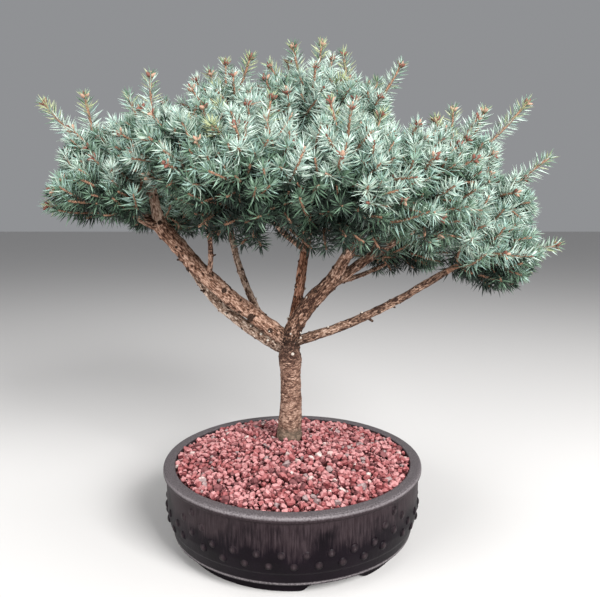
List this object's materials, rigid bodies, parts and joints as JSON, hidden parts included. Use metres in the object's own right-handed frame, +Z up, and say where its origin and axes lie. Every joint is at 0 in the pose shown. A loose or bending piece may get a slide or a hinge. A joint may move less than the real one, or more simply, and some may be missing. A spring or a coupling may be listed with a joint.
{
  "type": "potted spruce bonsai tree",
  "caption": "Bonsai spruce with a short trunk, spreading bare boughs and a broad blue-green crown, in a round dark glazed drum pot filled with red lava gravel.",
  "frame": {"origin": "middle of the whole object's box seen from above, at the level of the pot's foot", "axes": "+Z up along the trunk, +X to the right as seen from the front, -Y towards the viewer in front"},
  "size_m": [0.5256, 0.3462, 0.5048],
  "materials": {
    "pot_glaze": "satin dark brown-black glaze, lighter where it breaks over edges",
    "lava_gravel": "matt crushed red lava",
    "trunk_bark": "fine scaly bark",
    "bough_bark": "thin tan bark with scars",
    "needles": "waxy blue-green needles"
  },
  "bodies": {
    "root": {"bough_back_left": "bough_bark", "bough_back_right": "bough_bark", "bough_centre": "bough_bark", "bough_centre_back": "bough_bark", "bough_centre_front": "bough_bark", "bough_centre_right": "bough_bark", "bough_left_front": "bough_bark", "bough_left_inner": "bough_bark", "bough_left_low": "bough_bark", "bough_left_main": "bough_bark", "bough_left_outer": "bough_bark", "bough_left_rise": "bough_bark", "bough_left_side": "bough_bark", "bough_right_back": "bough_bark", "bough_right_far": "bough_bark", "bough_right_inner": "bough_bark", "bough_right_low": "bough_bark", "bough_right_main": "bough_bark", "bough_right_outer": "bough_bark", "bough_right_upper": "bough_bark", "gravel": "lava_gravel", "needles_back": "needles", "needles_back_left": "needles", "needles_back_right": "needles", "needles_front_left": "needles", "needles_front_right": "needles", "needles_left_back": "needles", "needles_left_front": "needles", "needles_left_low": "needles", "needles_left_tip": "needles", "needles_left_top": "needles", "needles_right_inner": "needles", "needles_right_low": "needles", "needles_right_tip": "needles", "needles_right_top": "needles", "needles_right_under": "needles", "needles_top": "needles", "needles_upper_left": "needles", "needles_upper_right": "needles", "pot": "pot_glaze", "trunk": "trunk_bark"}
  },
  "joints": []
}
